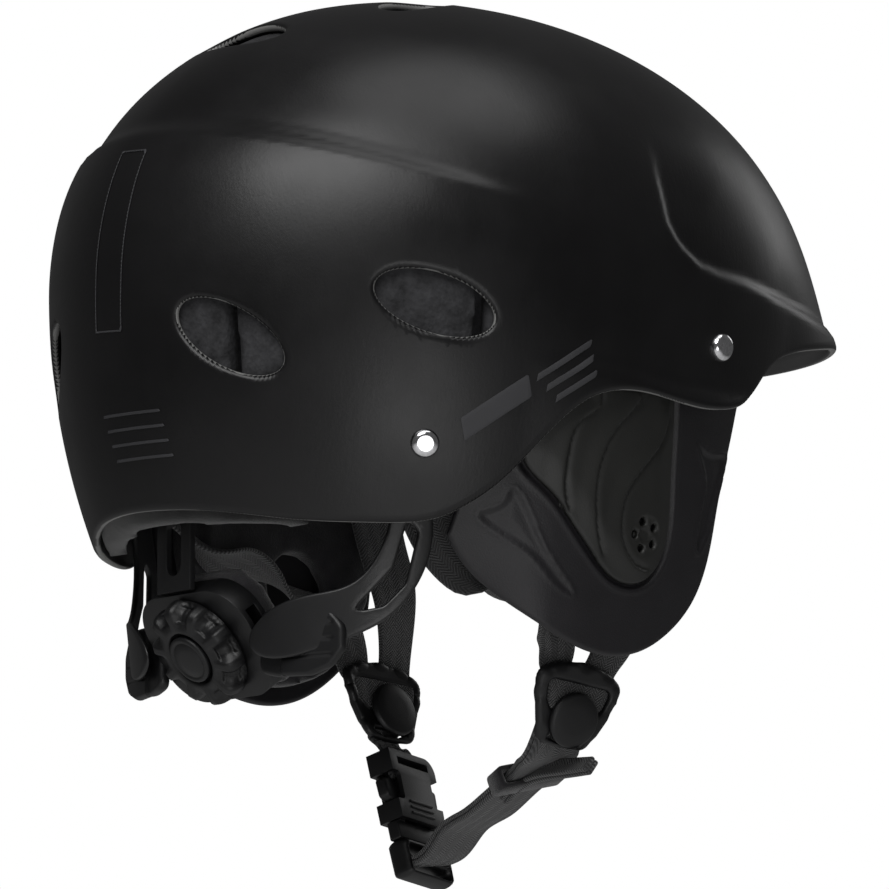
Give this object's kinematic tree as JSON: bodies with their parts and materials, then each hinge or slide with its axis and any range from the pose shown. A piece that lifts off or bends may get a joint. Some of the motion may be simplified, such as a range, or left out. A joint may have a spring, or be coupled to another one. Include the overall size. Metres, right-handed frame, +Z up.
{
  "type": "water helmet",
  "caption": "Water sports helmet: vented hard shell with brim, foam petal liner, ear flaps, dial-tightened nape cradle, webbing harness and side-release buckle.",
  "frame": {"origin": "centre of the head opening, level with the lowest part of the side rim, on the wearer's axis of symmetry", "axes": "+Z up towards the crown, -Y forward where the wearer looks, -X to the wearer's right"},
  "size_m": [0.2184, 0.2692, 0.2766],
  "materials": {
    "shell": "satin black ABS",
    "foam": "matte closed-cell EVA foam",
    "flap": "fine-grained matte black plastic",
    "panel": "satin dark olive-grey plastic",
    "plastic": "moulded black nylon or acetal",
    "chrome": "polished stainless rivet",
    "webbing": "black herringbone webbing",
    "pad": "dark brushed lining cloth"
  },
  "bodies": {
    "shell": {"outer_shell": "shell", "rivet_rear_right": "chrome", "rivet_rear_left": "chrome", "rivet_front_right": "chrome", "rivet_front_left": "chrome", "liner_crown": "foam", "liner_rear": "foam", "liner_rear_right": "foam", "liner_side_right": "foam", "liner_front_right": "foam", "liner_front": "foam", "liner_front_left": "foam", "liner_side_left": "foam", "liner_rear_left": "foam", "nape_binding": "pad", "ear_flap_right": "flap", "ear_flap_left": "flap", "ear_panel_right": "panel", "ear_panel_left": "panel", "ear_foam_right": "pad", "ear_foam_left": "pad", "strap_rear_right": "webbing", "strap_front_right": "webbing", "strap_rear_left": "webbing", "strap_front_left": "webbing", "divider_right": "plastic", "divider_left": "plastic", "hanger_stud": "plastic", "buckle_socket": "plastic", "socket_loop": "webbing", "chin_strap": "webbing"},
    "cradle": {"cradle_hanger": "plastic", "dial_housing": "plastic", "nape_pad": "pad", "wing_right": "plastic", "wing_left": "plastic", "band_right": "plastic", "band_left": "plastic"},
    "dial": {"dial_knob": "plastic", "dial_cap": "plastic", "dial_pinion": "plastic"},
    "rack_right": {"rack_right": "plastic"},
    "rack_left": {"rack_left": "plastic"},
    "clip": {"buckle_clip": "plastic", "ladder_lock": "plastic"},
    "prong_front": {"prong_front": "plastic"},
    "prong_rear": {"prong_rear": "plastic"},
    "keeper": {"strap_keeper": "plastic"},
    "lock_right": {"divider_lock_right": "plastic"},
    "lock_left": {"divider_lock_left": "plastic"}
  },
  "joints": [
    {"name": "cradle_tilt", "type": "hinge", "parent": "shell", "child": "cradle", "pos_m": [0, 0.05339, 0.01962], "axis": [1, 0, 0], "range_deg": [-4, 4]},
    {"name": "dial_turn", "type": "hinge", "parent": "cradle", "child": "dial", "pos_m": [0, 0.0857, -0.0443], "axis": [0, 0.8192, -0.5736], "range_deg": [-60, 60]},
    {"name": "rack_right_slide", "type": "slide", "parent": "cradle", "child": "rack_right", "axis": [1, 0, 0], "range_m": [-0.0055, 0.0055]},
    {"name": "rack_left_slide", "type": "slide", "parent": "cradle", "child": "rack_left", "axis": [-1, 0, 0], "range_m": [-0.0055, 0.0055]},
    {"name": "buckle_slide", "type": "slide", "parent": "shell", "child": "clip", "axis": [-0.3227, 0, -0.9465], "range_m": [0, 0.026], "deforming": ["prong_front", "prong_rear", "chin_strap"]},
    {"name": "prong_front_squeeze", "type": "hinge", "parent": "clip", "child": "prong_front", "pos_m": [0.05025, -0.04876, -0.08588], "axis": [-0.8984, -0.3146, 0.3063], "range_deg": [0, 5], "stiffness_Nm_per_rad": 0.3},
    {"name": "prong_rear_squeeze", "type": "hinge", "parent": "clip", "child": "prong_rear", "pos_m": [0.04507, -0.03224, -0.08412], "axis": [0.8984, 0.3146, -0.3063], "range_deg": [0, 5], "stiffness_Nm_per_rad": 0.3},
    {"name": "keeper_slide", "type": "slide", "parent": "shell", "child": "keeper", "axis": [-0.9335, 0.237, 0.2693], "range_m": [-0.008, 0.008]},
    {"name": "lock_right_turn", "type": "hinge", "parent": "shell", "child": "lock_right", "pos_m": [-0.06017, -0.01738, -0.06015], "axis": [-0.9428, 0.0471, -0.33], "range_deg": [0, 90]},
    {"name": "lock_left_turn", "type": "hinge", "parent": "shell", "child": "lock_left", "pos_m": [0.0584, -0.03774, -0.04725], "axis": [0.9535, 0.0953, -0.286], "range_deg": [0, 90]}
  ],
  "couplings": [
    {"joint": "rack_right_slide", "follows": "dial_turn", "m_per_rad": 0.005},
    {"joint": "rack_left_slide", "follows": "dial_turn", "m_per_rad": 0.005}
  ]
}
